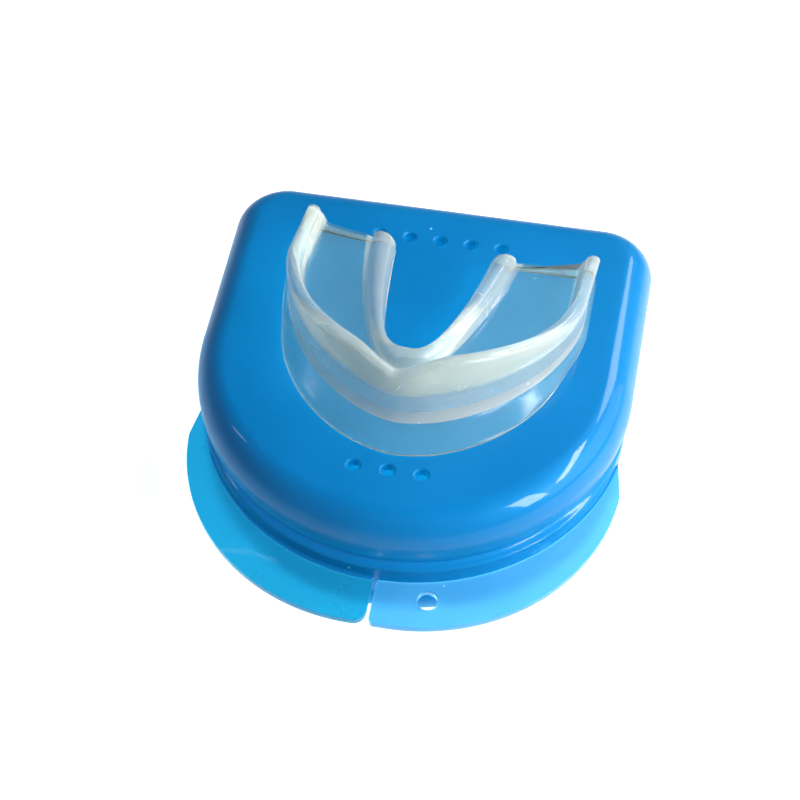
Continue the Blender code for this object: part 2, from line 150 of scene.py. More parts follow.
def smoothPath(points, steps, closed=False):
    # a rounded curve through every point
    count = len(points)
    spans = count if closed else count - 1
    result = []
    for i in range(spans):
        if closed:
            quad = [points[(i + k - 1) % count] for k in range(4)]
        else:
            quad = [points[min(max(i + k - 1, 0), count - 1)] for k in range(4)]
        p0, p1, p2, p3 = [Vector(p) for p in quad]
        for k in range(steps):
            t = k / steps
            a = 2 * p1
            b = p2 - p0
            c = 2 * p0 - 5 * p1 + 4 * p2 - p3
            d = 3 * p1 - p0 - 3 * p2 + p3
            result.append(tuple(0.5 * (a + b * t + c * t * t + d * t * t * t)))
    if not closed:
        result.append(tuple(points[-1]))
    return result


def addObject(name, mesh):
    item = bpy.data.objects.new(name, mesh)
    bpy.context.scene.collection.objects.link(item)
    return item


def loftRings(name, rings):
    bm = bmesh.new()
    rows = [[bm.verts.new(point) for point in ring] for ring in rings]
    count = len(rows[0])
    for lower, upper in zip(rows, rows[1:]):
        for i in range(count):
            j = (i + 1) % count
            bm.faces.new((lower[i], lower[j], upper[j], upper[i]))
    bm.faces.new(rows[0])
    bm.faces.new(rows[-1])
    bmesh.ops.recalc_face_normals(bm, faces=bm.faces)
    mesh = bpy.data.meshes.new(name)
    bm.to_mesh(mesh)
    bm.free()
    return addObject(name, mesh)


def flatPlate(name, outline, thickness):
    # prism of an outline in x and y, centred on z = 0
    bm = bmesh.new()
    bottom = [bm.verts.new((x, y, -thickness / 2)) for x, y in outline]
    top = [bm.verts.new((x, y, thickness / 2)) for x, y in outline]
    bm.faces.new(bottom)
    bm.faces.new(top)
    for i in range(len(outline)):
        j = (i + 1) % len(outline)
        bm.faces.new((bottom[i], bottom[j], top[j], top[i]))
    bmesh.ops.recalc_face_normals(bm, faces=bm.faces)
    mesh = bpy.data.meshes.new(name)
    bm.to_mesh(mesh)
    bm.free()
    return addObject(name, mesh)


def turnedTool(name, profile, places, axis=(0, 0, 1), steps=48):
    # closed turned shapes, one at each place; the profile is (radius, height) along the axis
    bm = bmesh.new()
    turn = Vector((0, 0, 1)).rotation_difference(Vector(axis)).to_matrix().to_4x4()
    for place in places:
        rows = []
        for radius, height in profile:
            ring = []
            for k in range(steps):
                angle = 2 * math.pi * k / steps
                local = Vector((radius * math.cos(angle), radius * math.sin(angle), height))
                ring.append(bm.verts.new(Vector(place) + turn @ local))
            rows.append(ring)
        for lower, upper in zip(rows, rows[1:]):
            for k in range(steps):
                j = (k + 1) % steps
                bm.faces.new((lower[k], lower[j], upper[j], upper[k]))
        bm.faces.new(rows[0])
        bm.faces.new(rows[-1])
    bmesh.ops.recalc_face_normals(bm, faces=bm.faces)
    mesh = bpy.data.meshes.new(name)
    bm.to_mesh(mesh)
    bm.free()
    return addObject(name, mesh)


def applyModifiers(item):
    evaluated = item.evaluated_get(bpy.context.evaluated_depsgraph_get())
    mesh = bpy.data.meshes.new_from_object(evaluated)
    item.modifiers.clear()
    item.data = mesh
    return item


def combine(target, operation, tool):
    modifier = target.modifiers.new("combine", "BOOLEAN")
    modifier.solver = "EXACT"
    modifier.operation = operation
    modifier.object = tool
    applyModifiers(target)
    bpy.data.objects.remove(tool, do_unlink=True)
    return target


def roundEdges(item, width, segments, angle=50):
    modifier = item.modifiers.new("edges", "BEVEL")
    modifier.width = width
    modifier.segments = segments
    modifier.limit_method = "ANGLE"
    modifier.angle_limit = math.radians(angle)
    return applyModifiers(item)


def cleanMesh(item, sharpAngle):
    bm = bmesh.new()
    bm.from_mesh(item.data)
    bmesh.ops.remove_doubles(bm, verts=bm.verts, dist=0.000002)
    bmesh.ops.dissolve_degenerate(bm, edges=bm.edges, dist=0.000002)
    bmesh.ops.recalc_face_normals(bm, faces=bm.faces)
    bm.to_mesh(item.data)
    bm.free()
    item.data.shade_smooth()
    item.data.set_sharp_from_angle(angle=math.radians(sharpAngle))
    return item


# the case
def dOutline(inset):
    # round front, straight sides, rounded back corners
    corner = max(caseForm["cornerRadius"] - inset, caseForm["rimGap"])
    across = halfWidth - inset - corner
    back = backY - inset - corner
    points = arcPoints((0, arcCentreY), frontRadius - inset, 180, 360, caseForm["frontSteps"])
    points += arcPoints((across, back), corner, 0, 90, caseForm["cornerSteps"])
    points += arcPoints((-across, back), corner, 90, 180, caseForm["cornerSteps"])
    return points


def caseShell(name, profile):
    return loftRings(name, [[(x, y, z) for x, y in dOutline(inset)] for inset, z in profile])


def collarProfile(rimZ, endZ, up, wide):
    # outer face from the rim over the collar and the groove to endZ, where it is wide again
    inset = caseForm["collarInset"]
    groove = caseForm["grooveInset"]
    drop = caseForm["grooveDrop"]
    edgeZ = rimZ + up * caseForm["collarHeight"]
    grooveZ = edgeZ + up * drop
    run = endZ - grooveZ
    fine = caseForm["rimEdge"]
    path = [
        (inset + fine, rimZ),
        (inset + 0.3 * fine, rimZ + up * 0.3 * fine),
        (inset, rimZ + up * fine),
        (inset, rimZ + up * 0.5 * caseForm["collarHeight"]),
        (inset, edgeZ - up * 0.55 * drop),
        (inset + 0.06 * groove, edgeZ - up * 0.16 * drop),
        (inset + 0.22 * groove, edgeZ + up * 0.06 * drop),
        (0.66 * groove, edgeZ + up * 0.28 * drop),
        (0.90 * groove, edgeZ + up * 0.58 * drop),
        (groove, grooveZ),
        (0.93 * groove, grooveZ + 0.12 * run),
        (0.74 * groove, grooveZ + 0.27 * run),
        (0.42 * groove, grooveZ + 0.52 * run),
        (0.14 * groove + 0.6 * wide, grooveZ + 0.78 * run),
        (wide, endZ),
    ]
    return smoothPath(path, 5)


def lidProfile():
    shoulderZ = lidTopZ - caseForm["shoulderRise"]
    jogZ = lidRimZ + caseForm["lipHeight"]
    run, rise, wall = caseForm["shoulderRun"], caseForm["shoulderRise"], caseForm["wall"]
    outer = collarProfile(lidRimZ, shoulderZ - caseForm["domeUpright"], 1, 0)
    outer += arcPoints((run, shoulderZ), (run, rise), 180, 90, caseForm["edgeSteps"] * 2)
    innerShape = (run - wall / 2, rise - wall)
    inner = arcPoints((wall + innerShape[0], shoulderZ), innerShape, 90, 180, caseForm["edgeSteps"])
    inner += smoothPath([
        (wall + 0.0001, shoulderZ - 0.0012),
        (wall + 0.0006, jogZ + caseForm["grooveDrop"] + 2.2 * wall),
        (lipInner, jogZ + caseForm["grooveDrop"] + 0.9 * wall),
        (lipInner, jogZ + wall / 2),
        (collarInner + 0.0008, jogZ + 0.0002),
        (collarInner, jogZ - 0.0002),
        (collarInner, lidRimZ + 0.0003),
        (collarInner - 0.0002, lidRimZ),
    ], 4)
    return inner + outer


def baseProfile():
    run, rise, wall = caseForm["footRun"], caseForm["footRise"], caseForm["wall"]
    gap, foot = caseForm["rimGap"], caseForm["footInset"]
    lipZ = baseRimZ + caseForm["lipHeight"] - gap
    outer = collarProfile(baseRimZ, rise, -1, foot)
    outer += arcPoints((foot + run, rise), (run, rise), 180, 270, caseForm["edgeSteps"])[1:]
    innerShape = (run - wall / 2, rise - wall)
    inner = arcPoints((foot + wall + innerShape[0], rise), innerShape, 270, 180, caseForm["edgeSteps"])
    inner += smoothPath([
        (foot + wall + 0.0002, rise + 0.0008),
        (lipInner, rise + lipInner - foot - wall / 2),
        (lipInner, lipZ - 0.0004),
        (lipInner - 0.0003, lipZ),
        (lipOuter + gap, lipZ),
        (lipOuter, lipZ - 2 * gap),
        (lipOuter, baseRimZ + 0.0002),
        (lipOuter - 0.0002, baseRimZ),
    ], 4)
    return inner + outer


def tabOutline(side, corner):
    splitX = tabForm["split"] / 2
    radius = frontRadius + tabForm["sideReach"] - tabForm["centreX"]
    centre = (tabForm["centreX"], tabFrontY + radius)
    wallRadius = frontRadius - caseForm["collarInset"] - tabForm["overlap"]
    end, steps = tabForm["endAngle"], tabForm["steps"]
    points = arcPoints((splitX + corner, tabFrontY + corner), corner, 180, 270, 14)
    points += arcPoints(centre, radius, -90, end, steps)[1:]
    points += arcPoints((0, arcCentreY), wallRadius, end, -90, steps)[:-1]
    points.append((splitX, arcCentreY - wallRadius))
    return [(side * x, y) for x, y in points]


def addTab(target, side, corner, edge):
    thickness = tabForm["thickness"]
    tab = flatPlate(target.name + "Tab", tabOutline(side, corner), thickness)
    tab.location.z = jointZ
    relief = [(tabForm["reliefRadius"], -thickness), (tabForm["reliefRadius"], thickness)]
    place = (0, frontY + caseForm["collarInset"] - tabForm["reliefRadius"], jointZ)
    combine(tab, "DIFFERENCE", turnedTool("relief", relief, [place]))
    roundEdges(tab, edge, 4)
    # the tab keeps clear of the other shell's collar
    up = -side
    depth = tabForm["roomDepth"]
    room = flatPlate("room", dOutline(caseForm["collarInset"] - caseForm["rimGap"]), depth)
    room.location.z = jointZ + up * (caseForm["rimGap"] - depth) / 2
    combine(tab, "DIFFERENCE", room)
    combine(target, "UNION", tab)


def addFillet(target):
    # soft corner where the left tab runs into the lid's collar
    bottomZ = jointZ + tabForm["thickness"] / 2
    size, sink, fadeFrom = tabForm["fillet"], tabForm["filletSink"], tabForm["filletFadeFrom"]
    wallRadius = frontRadius - caseForm["collarInset"]
    section = [(wallRadius - sink, bottomZ - sink), (wallRadius + size, bottomZ - sink)]
    section += [(wallRadius + size - p, bottomZ + q) for p, q in arcPoints((0, size), size, -90, 0, 8)]
    section.append((wallRadius - sink, bottomZ + size))
    rings = []
    first = 270 - math.degrees((tabForm["split"] / 2 + caseForm["rimGap"]) / wallRadius)
    last = 270 - tabForm["filletSweep"]
    for i in range(tabForm["steps"] + 1):
        share = i / tabForm["steps"]
        angle = math.radians(first + (last - first) * share)
        fade = 1 - tabForm["filletFade"] * max(share - fadeFrom, 0) / (1 - fadeFrom)
        ring = []
        for radius, z in section:
            r = wallRadius + (radius - wallRadius) * (fade if radius > wallRadius else 1)
            h = bottomZ + (z - bottomZ) * (fade if z > bottomZ else 1)
            ring.append((r * math.cos(angle), arcCentreY + r * math.sin(angle), h))
        rings.append(ring)
    combine(target, "UNION", loftRings("fillet", rings))


def addKnuckles(target, up, length, places):
    wallY = backY - caseForm["collarInset"] - tabForm["overlap"] - hinge.y
    ring = arcPoints((0, 0), knuckleRadius, 90, -180, 40)
    outline = [(wallY, knuckleRadius)] + ring
    outline += [(-knuckleRadius, caseForm["rimGap"]), (wallY, caseForm["rimGap"])]
    for x in places:
        knuckle = flatPlate("knuckle", [(y, up * z) for y, z in outline], length)
        upright = Matrix(((0, 0, 1, x), (1, 0, 0, hinge.y), (0, 1, 0, jointZ), (0, 0, 0, 1)))
        knuckle.data.transform(upright)
        roundEdges(knuckle, hingeForm["edge"], 2)
        combine(target, "UNION", knuckle)


def hingeSpan():
    return hingeForm["lidLength"] + 2 * (hingeForm["knuckleGap"] + hingeForm["baseLength"])


def boreKnuckles(target, length):
    places = [(side * hingeForm["offset"], hinge.y, jointZ) for side in (-1, 1)]
    radius = pinRadius + hingeForm["pinClearance"]
    profile = [(radius, -length / 2), (radius, length / 2)]
    combine(target, "DIFFERENCE", turnedTool("bores", profile, places, (1, 0, 0), 40))


def ventPlaces():
    rows = [(ventForm["back"], backY - ventForm["backSetback"]),
            (ventForm["front"], frontY + ventForm["frontSetback"])]
    return [((i - (count - 1) / 2) * ventForm["pitch"], y, lidTopZ)
            for count, y in rows for i in range(count)]


def drillVents(lid):
    radius, flare = ventForm["radius"], ventForm["flare"]
    profile = [(radius, -3 * caseForm["wall"])]
    profile += [(radius + flare + p, -flare + q) for p, q in arcPoints((0, 0), flare, 180, 98, 8)]
    profile.append((profile[-1][0] + 0.00006, 0.0002))
    combine(lid, "DIFFERENCE", turnedTool("vents", profile, ventPlaces()))


def makeLid():
    lid = caseShell("caseLid", lidProfile())
    addTab(lid, -1, tabForm["lidCorner"], tabForm["lidEdge"])
    addFillet(lid)
    addKnuckles(lid, 1, hingeForm["lidLength"], [-hingeForm["offset"], hingeForm["offset"]])
    boreKnuckles(lid, hingeSpan())
    drillVents(lid)
    cleanMesh(lid, 32)
    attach(lid, "lid")
    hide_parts("case_lid")
    return lid


def makeBase():
    base = caseShell("caseBase", baseProfile())
    addTab(base, 1, tabForm["baseCorner"], tabForm["baseEdge"])
    beside = (hingeForm["lidLength"] + hingeForm["baseLength"]) / 2 + hingeForm["knuckleGap"]
    places = [side * hingeForm["offset"] + step for side in (-1, 1) for step in (-beside, beside)]
    addKnuckles(base, -1, hingeForm["baseLength"], places)
    boreKnuckles(base, hingeSpan() + 2 * caseForm["rimGap"])
    eye = tabForm["eyeRadius"]
    half = tabForm["thickness"] / 2
    rim = tabForm["eyeRim"]
    past = rim / 2
    profile = [(eye + rim, -half - past), (eye, -half + rim), (eye, half - rim), (eye + rim, half + past)]
    place = (tabForm["eyeX"], tabFrontY + tabForm["eyeSetback"], jointZ)
    combine(base, "DIFFERENCE", turnedTool("eye", profile, [place], steps=64))
    cleanMesh(base, 32)
    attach(base, "base")
    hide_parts("case_base")
    return base


def makePins():
    half = hingeSpan() / 2 - caseForm["rimGap"]
    edge = hingeForm["pinEdge"]
    profile = [(pinRadius - edge, -half), (pinRadius, -half + edge),
               (pinRadius, half - edge), (pinRadius - edge, half)]
    pins = []
    for side, name in ((-1, "left"), (1, "right")):
        place = (side * hingeForm["offset"], hinge.y, jointZ)
        pin = turnedTool("hingePin" + name.capitalize(), profile, [place], (1, 0, 0))
        cleanMesh(pin, 32)
        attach(pin, "base")
        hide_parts("hinge_pin_" + name)
        pins.append(pin)
    return pins


# the mouthguard
guardForm = {
    "halfWidth": 0.0274,
    "front": 0.0293,           # front of the arch to its widest line
    "squareness": 1.7,
    "shieldArm": 0.0129,       # widest line to the rear end of the outer wall
    "shieldToeIn": 0.0004,
    "beadArm": 0.0107,         # widest line to the rear end of the inner wall
    "plateDepth": 0.0118,
    "tongueHalfWidth": 0.0093,
    "tongueSquareness": 3.0,
    "tongueShift": 0.0010,
    "plateThickness": 0.0024,
    "shieldThickness": 0.0026,
    "beadThickness": {0: 0.0030, 0.4: 0.0031, 0.75: 0.0038, 1: 0.0044},
    "skirtThickness": 0.0011,
    "sections": 100,           # on each arm
    "samples": 600,            # points that the sections' places are read from
    "sectionSteps": 4,         # between two points of a section
    "bandSpan": 3,             # span of a section at the front edge of the bite plate
    "thinSpans": (0, 1, 2, 14, 15, 16, 17, 27, 28, 29, 30, 31, 32),
    "endRounding": 0.0004,
    # tables from the centre line (0) to the rear end of an arm (1)
    "plateLift": {0: 0.0030, 0.3: 0.0028, 0.6: 0.0022, 1: 0.0012},
    "shieldTop": {0: 0.0134, 0.05: 0.0143, 0.15: 0.0155, 0.3: 0.0148, 0.6: 0.0112, 1: 0.0074},
    "shieldLean": {0: 0.0008, 0.15: 0.0013, 0.3: 0.0010, 0.5: 0.0004, 0.7: 0.0, 1: -0.0009},
    "beadTop": {0: 0.0093, 0.3: 0.0088, 0.6: 0.0073, 1: 0.0056},
    "skirtFlare": {0: 0.0051, 0.15: 0.0050, 0.3: 0.0043, 0.45: 0.0030, 0.6: 0.0012, 0.8: 0.0007, 1: 0.0006},
    "turn": math.radians(-4),  # as it lies on the lid
    "shiftX": 0.0018,
    "setback": 0.0495,         # front of the case to the widest line of the guard
}


def along(stations, where):
    # smooth value at a place between the stations of a table
    keys = sorted(stations)
    values = [stations[key] for key in keys]
    slopes = []
    for i in range(len(keys)):
        before, after = max(i - 1, 0), min(i + 1, len(keys) - 1)
        slopes.append((values[after] - values[before]) / (keys[after] - keys[before]))
    slopes[0] = 0
    i = max(k for k in range(len(keys) - 1) if keys[k] <= where or k == 0)
    span = keys[i + 1] - keys[i]
    t = (where - keys[i]) / span
    start = (1 + 2 * t) * (1 - t) ** 2 * values[i] + t * (1 - t) ** 2 * span * slopes[i]
    end = t * t * (3 - 2 * t) * values[i + 1] + t * t * (t - 1) * span * slopes[i + 1]
    return start + end


def evenlySpaced(points, count):
    lengths = [0]
    for a, b in zip(points, points[1:]):
        lengths.append(lengths[-1] + math.dist(a, b))
    result = []
    k = 0
    for i in range(count + 1):
        target = lengths[-1] * i / count
        while k < len(points) - 2 and lengths[k + 1] < target:
            k += 1
        share = (target - lengths[k]) / (lengths[k + 1] - lengths[k])
        result.append(Vector(points[k]).lerp(Vector(points[k + 1]), share))
    return result


def guardCurves(side):
    form = guardForm
    power = 2 / form["squareness"]
    samples = form["samples"]
    outer = []
    for i in range(samples + 1):
        angle = math.pi / 2 * i / samples
        x = form["halfWidth"] * math.sin(angle) ** power
        y = -form["front"] * max(math.cos(angle), 0) ** power
        outer.append((x, y))
    outer.append((form["halfWidth"] - form["shieldToeIn"], form["shieldArm"]))
    inner = []
    innerFront = form["plateDepth"] - form["front"]
    for i in range(samples + 1):
        share = i / samples
        x = form["tongueHalfWidth"] * share - side * form["tongueShift"]
        inner.append((x, innerFront + (form["beadArm"] - innerFront) * share ** form["tongueSquareness"]))
    return evenlySpaced(outer, form["sections"]), evenlySpaced(inner, form["sections"])


def guardSection(station, width):
    form = guardForm
    plate, skirt = form["plateThickness"], form["skirtThickness"]
    shield = form["shieldThickness"]
    beadWall = along(form["beadThickness"], station)
    lift = along(form["plateLift"], station)
    floor = lift + plate
    top = along(form["shieldTop"], station)
    lean = along(form["shieldLean"], station)
    flare = along(form["skirtFlare"], station)
    bead = along(form["beadTop"], station)
    middle = (floor + top) / 2
    points = [
        (-flare, 0),
        (-flare - 0.2 * skirt, 0.5 * skirt),
        (-0.55 * flare, 0.5 * lift + 0.4 * skirt),
        (-0.15 * flare, 0.85 * lift + 0.6 * skirt),
        (0.1 * lean, floor),
        (0.5 * lean, middle),
    ]
    points += arcPoints((lean + shield / 2, top - shield / 2), shield / 2, 180, 0, 6)
    points += [
        (0.6 * lean + 1.08 * shield, middle),
        (0.3 * lean + 1.2 * shield, 0.7 * floor + 0.3 * middle),
        (0.3 * lean + 1.5 * shield, floor),
    ]
    beadFoot = width - 1.55 * beadWall
    points += [
        ((points[-1][0] + beadFoot) / 2, floor - 0.05 * plate),
        (beadFoot, floor),
        (width - 1.3 * beadWall, 0.6 * floor + 0.4 * (bead - beadWall / 2)),
    ]
    points += arcPoints((width - 0.55 * beadWall, bead - beadWall / 2), beadWall / 2, 180, 0, 6)[:-1]
    points += [
        (width, (lift + bead) / 2),
        (width, lift + 0.25 * plate),
        (width - 0.25 * plate, lift),
        ((width + shield) / 2, lift),
        (0.9 * shield, lift),
        (-0.1 * flare + 0.8 * skirt, 0.75 * lift),
        (-0.55 * flare + 0.9 * skirt, 0.4 * lift),
        (-flare + 0.8 * skirt, 0),
    ]
    return smoothPath(points, form["sectionSteps"], closed=True)


def setIn(section, amount):
    count = len(section)
    result = []
    for i in range(count):
        edge = (Vector(section[(i + 1) % count]) - Vector(section[i - 1])).normalized()
        result.append(Vector(section[i]) + amount * Vector((edge.y, -edge.x)))
    return result


def standSection(section, outer, inner, side, forward):
    inward = (inner - outer).normalized()
    alongArm = Vector((-inward.y, inward.x)) * (-1 if inward.x < 0 else 1)
    start = outer + alongArm * forward
    return [(side * (start.x + inward.x * u), start.y + inward.y * u, z) for u, z in section]


def guardArm(side):
    outer, inner = guardCurves(side)
    rings = []
    for i, (a, b) in enumerate(zip(outer, inner)):
        section = guardSection(i / guardForm["sections"], (b - a).length)
        rings.append(standSection(section, a, b, side, 0))
    rounding = guardForm["endRounding"]
    for angle in (15, 30, 45, 60, 75, 90):
        turn = math.radians(angle)
        rounded = setIn(section, rounding * (1 - math.cos(turn)))
        rings.append(standSection(rounded, a, b, side, -rounding * math.sin(turn)))
    return rings


def makeGuard():
    rings = guardArm(-1)[:0:-1] + guardArm(1)
    guard = loftRings("mouthguardBody", rings)
    # thin see-through plates and skirt, and a band at the plate's front edge; the rest is thick and milky
    for face in guard.data.polygons:
        span = face.index % len(rings[0]) // guardForm["sectionSteps"]
        if len(face.vertices) == 4 and span in guardForm["thinSpans"]:
            face.material_index = 1
        elif len(face.vertices) == 4 and span == guardForm["bandSpan"]:
            face.material_index = 2
    place = Matrix.Translation((guardForm["shiftX"], frontY + guardForm["setback"], guardLow.z))
    guard.data.transform(place @ Matrix.Rotation(guardForm["turn"], 4, "Z"))
    cleanMesh(guard, 40)
    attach(guard, "mouthguard")
    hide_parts("mouthguard")
    return guard


# materials
def newMaterial(name):
    material = bpy.data.materials.new(name)
    material.use_nodes = True
    nodes = material.node_tree.nodes
    nodes.clear()
    output = nodes.new("ShaderNodeOutputMaterial")
    output.location = (700, 0)
    shader = nodes.new("ShaderNodeBsdfPrincipled")
    shader.location = (200, 0)
    return material, nodes, material.node_tree.links, shader, output


def letLampsThrough(nodes, links, shader, output, tint):
    # lamps shine through the plastic and take its tint, so that nothing inside or under it goes black
    path = nodes.new("ShaderNodeLightPath")
    clear = nodes.new("ShaderNodeBsdfTransparent")
    clear.inputs["Color"].default_value = (*tint, 1)
    mix = nodes.new("ShaderNodeMixShader")
    mix.location = (500, 0)
    links.new(path.outputs["Is Shadow Ray"], mix.inputs["Fac"])
    links.new(shader.outputs["BSDF"], mix.inputs[1])
    links.new(clear.outputs["BSDF"], mix.inputs[2])
    links.new(mix.outputs["Shader"], output.inputs["Surface"])


def newGroup(name, inputs, outputs):
    group = bpy.data.node_groups.new(name, "ShaderNodeTree")
    for socketName, kind, value in inputs:
        socket = group.interface.new_socket(name=socketName, in_out="INPUT", socket_type=kind)
        socket.default_value = value
    for socketName, kind in outputs:
        group.interface.new_socket(name=socketName, in_out="OUTPUT", socket_type=kind)
    entry = group.nodes.new("NodeGroupInput")
    entry.location = (-900, 0)
    leave = group.nodes.new("NodeGroupOutput")
    leave.location = (700, 0)
    return group, group.nodes, group.links, entry, leave


def placeGroup(nodes, group, values, x, y):
    node = nodes.new("ShaderNodeGroup")
    node.node_tree = group
    node.location = (x, y)
    for key, value in values.items():
        node.inputs[key].default_value = value
    return node


def mathNode(nodes, operation, second=None):
    node = nodes.new("ShaderNodeMath")
    node.operation = operation
    if second is not None:
        node.inputs[1].default_value = second
    return node


def rampTo(nodes, low, high):
    node = nodes.new("ShaderNodeMapRange")
    node.interpolation_type = "SMOOTHSTEP"
    node.inputs["From Min"].default_value = low
    node.inputs["From Max"].default_value = high
    return node


def makeUnevenGroup():
    # slow change of tint and gloss, with the faint waviness of a moulded surface
    group, nodes, links, entry, leave = newGroup(
        "mouldedUnevenness",
        [("Scale", "NodeSocketFloat", 60), ("Ripple Scale", "NodeSocketFloat", 400),
         ("Ripple", "NodeSocketFloat", 0.1)],
        [("Amount", "NodeSocketFloat"), ("Normal", "NodeSocketVector")])
    place = nodes.new("ShaderNodeTexCoord")
    slow = nodes.new("ShaderNodeTexNoise")
    slow.inputs["Detail"].default_value = 3
    fine = nodes.new("ShaderNodeTexNoise")
    fine.inputs["Detail"].default_value = 4
    spread = rampTo(nodes, 0.32, 0.68)
    bump = nodes.new("ShaderNodeBump")
    bump.inputs["Distance"].default_value = 0.00006
    links.new(place.outputs["Object"], slow.inputs["Vector"])
    links.new(place.outputs["Object"], fine.inputs["Vector"])
    links.new(entry.outputs["Scale"], slow.inputs["Scale"])
    links.new(entry.outputs["Ripple Scale"], fine.inputs["Scale"])
    links.new(entry.outputs["Ripple"], bump.inputs["Strength"])
    links.new(slow.outputs["Fac"], spread.inputs["Value"])
    links.new(fine.outputs["Fac"], bump.inputs["Height"])
    links.new(spread.outputs["Result"], leave.inputs["Amount"])
    links.new(bump.outputs["Normal"], leave.inputs["Normal"])
    return group


def makeSpeckGroup():
    # tiny round specks: bubbles and dust, in a few of the cells only
    group, nodes, links, entry, leave = newGroup(
        "speckle",
        [("Scale", "NodeSocketFloat", 500), ("Size", "NodeSocketFloat", 0.2),
         ("Share", "NodeSocketFloat", 0.1)],
        [("Mask", "NodeSocketFloat")])
    place = nodes.new("ShaderNodeTexCoord")
    cells = nodes.new("ShaderNodeTexVoronoi")
    near = mathNode(nodes, "LESS_THAN")
    chosen = mathNode(nodes, "LESS_THAN")
    both = mathNode(nodes, "MULTIPLY")
    chance = nodes.new("ShaderNodeSeparateColor")
    links.new(place.outputs["Object"], cells.inputs["Vector"])
    links.new(entry.outputs["Scale"], cells.inputs["Scale"])
    links.new(cells.outputs["Distance"], near.inputs[0])
    links.new(entry.outputs["Size"], near.inputs[1])
    links.new(cells.outputs["Color"], chance.inputs["Color"])
    links.new(chance.outputs["Red"], chosen.inputs[0])
    links.new(entry.outputs["Share"], chosen.inputs[1])
    links.new(near.outputs["Value"], both.inputs[0])
    links.new(chosen.outputs["Value"], both.inputs[1])
    links.new(both.outputs["Value"], leave.inputs["Mask"])
    return group


def makeScratchGroup():
    # hair-fine scratches in one direction, broken up into patches
    group, nodes, links, entry, leave = newGroup(
        "fineScratches",
        [("Scale", "NodeSocketFloat", 200), ("Turn", "NodeSocketFloat", 0.6),
         ("Width", "NodeSocketFloat", 0.02), ("Patches", "NodeSocketFloat", 90)],
        [("Mask", "NodeSocketFloat")])
    place = nodes.new("ShaderNodeTexCoord")
    turn = nodes.new("ShaderNodeVectorRotate")
    turn.rotation_type = "Z_AXIS"
    stretch = nodes.new("ShaderNodeVectorMath")
    stretch.operation = "MULTIPLY"
    stretch.inputs[1].default_value = (0.09, 1, 1)
    lines = nodes.new("ShaderNodeTexVoronoi")
    lines.feature = "DISTANCE_TO_EDGE"
    thin = mathNode(nodes, "LESS_THAN")
    patches = nodes.new("ShaderNodeTexNoise")
    some = rampTo(nodes, 0.58, 0.66)
    both = mathNode(nodes, "MULTIPLY")
    links.new(place.outputs["Object"], turn.inputs["Vector"])
    links.new(entry.outputs["Turn"], turn.inputs["Angle"])
    links.new(turn.outputs["Vector"], stretch.inputs[0])
    links.new(stretch.outputs["Vector"], lines.inputs["Vector"])
    links.new(entry.outputs["Scale"], lines.inputs["Scale"])
    links.new(lines.outputs["Distance"], thin.inputs[0])
    links.new(entry.outputs["Width"], thin.inputs[1])
    links.new(place.outputs["Object"], patches.inputs["Vector"])
    links.new(entry.outputs["Patches"], patches.inputs["Scale"])
    links.new(patches.outputs["Fac"], some.inputs["Value"])
    links.new(thin.outputs["Value"], both.inputs[0])
    links.new(some.outputs["Result"], both.inputs[1])
    links.new(both.outputs["Value"], leave.inputs["Mask"])
    return group


def between(nodes, links, fac, low, high, x, y):
    # colour or number that runs from low to high with a mask
    mix = nodes.new("ShaderNodeMix")
    mix.location = (x, y)
    colour = isinstance(low, tuple)
    mix.data_type = "RGBA" if colour else "FLOAT"
    first, second = (6, 7) if colour else (2, 3)
    mix.inputs[first].default_value = (*low, 1) if colour else low
    mix.inputs[second].default_value = (*high, 1) if colour else high
    links.new(fac, mix.inputs[0])
    return mix.outputs[2 if colour else 0]


uneven = makeUnevenGroup()
specks = makeSpeckGroup()
scratches = makeScratchGroup()


def makePlastic(name, look):
    material, nodes, links, shader, output = newMaterial(name)
    soft = placeGroup(nodes, uneven, {"Scale": look["tintScale"], "Ripple": look["ripple"]}, -700, 200)
    spots = placeGroup(nodes, specks, {"Scale": look["speckScale"], "Size": look["speckSize"],
                                       "Share": look["speckShare"]}, -700, -100)
    lines = placeGroup(nodes, scratches, {"Width": look["scratchWidth"]}, -700, -350)
    tint = between(nodes, links, soft.outputs["Amount"], look["tint"], look["tintOther"], -300, 300)
    marks = nodes.new("ShaderNodeMix")
    marks.data_type = "RGBA"
    marks.location = (-50, 250)
    marks.inputs[7].default_value = (*look["speckTint"], 1)
    links.new(spots.outputs["Mask"], marks.inputs[0])
    links.new(tint, marks.inputs[6])
    links.new(marks.outputs[2], shader.inputs["Base Color"])
    worn = mathNode(nodes, "MULTIPLY_ADD", look["scratchRoughness"])
    links.new(lines.outputs["Mask"], worn.inputs[0])
    duller = look["roughness"] * 1.25
    gloss = between(nodes, links, soft.outputs["Amount"], look["roughness"], duller, -300, -100)
    links.new(gloss, worn.inputs[2])
    links.new(worn.outputs["Value"], shader.inputs["Roughness"])
    links.new(soft.outputs["Normal"], shader.inputs["Normal"])
    shader.inputs["IOR"].default_value = look["ior"]
    shader.inputs["Transmission Weight"].default_value = look["transmission"]
    shader.inputs["Specular IOR Level"].default_value = look["specular"]
    shader.inputs["Specular Tint"].default_value = (*look["specularTint"], 1)
    shader.inputs["Coat Weight"].default_value = look["coat"]
    shader.inputs["Coat Roughness"].default_value = look["coatRoughness"]
    letLampsThrough(nodes, links, shader, output, look["lampTint"])
    return material


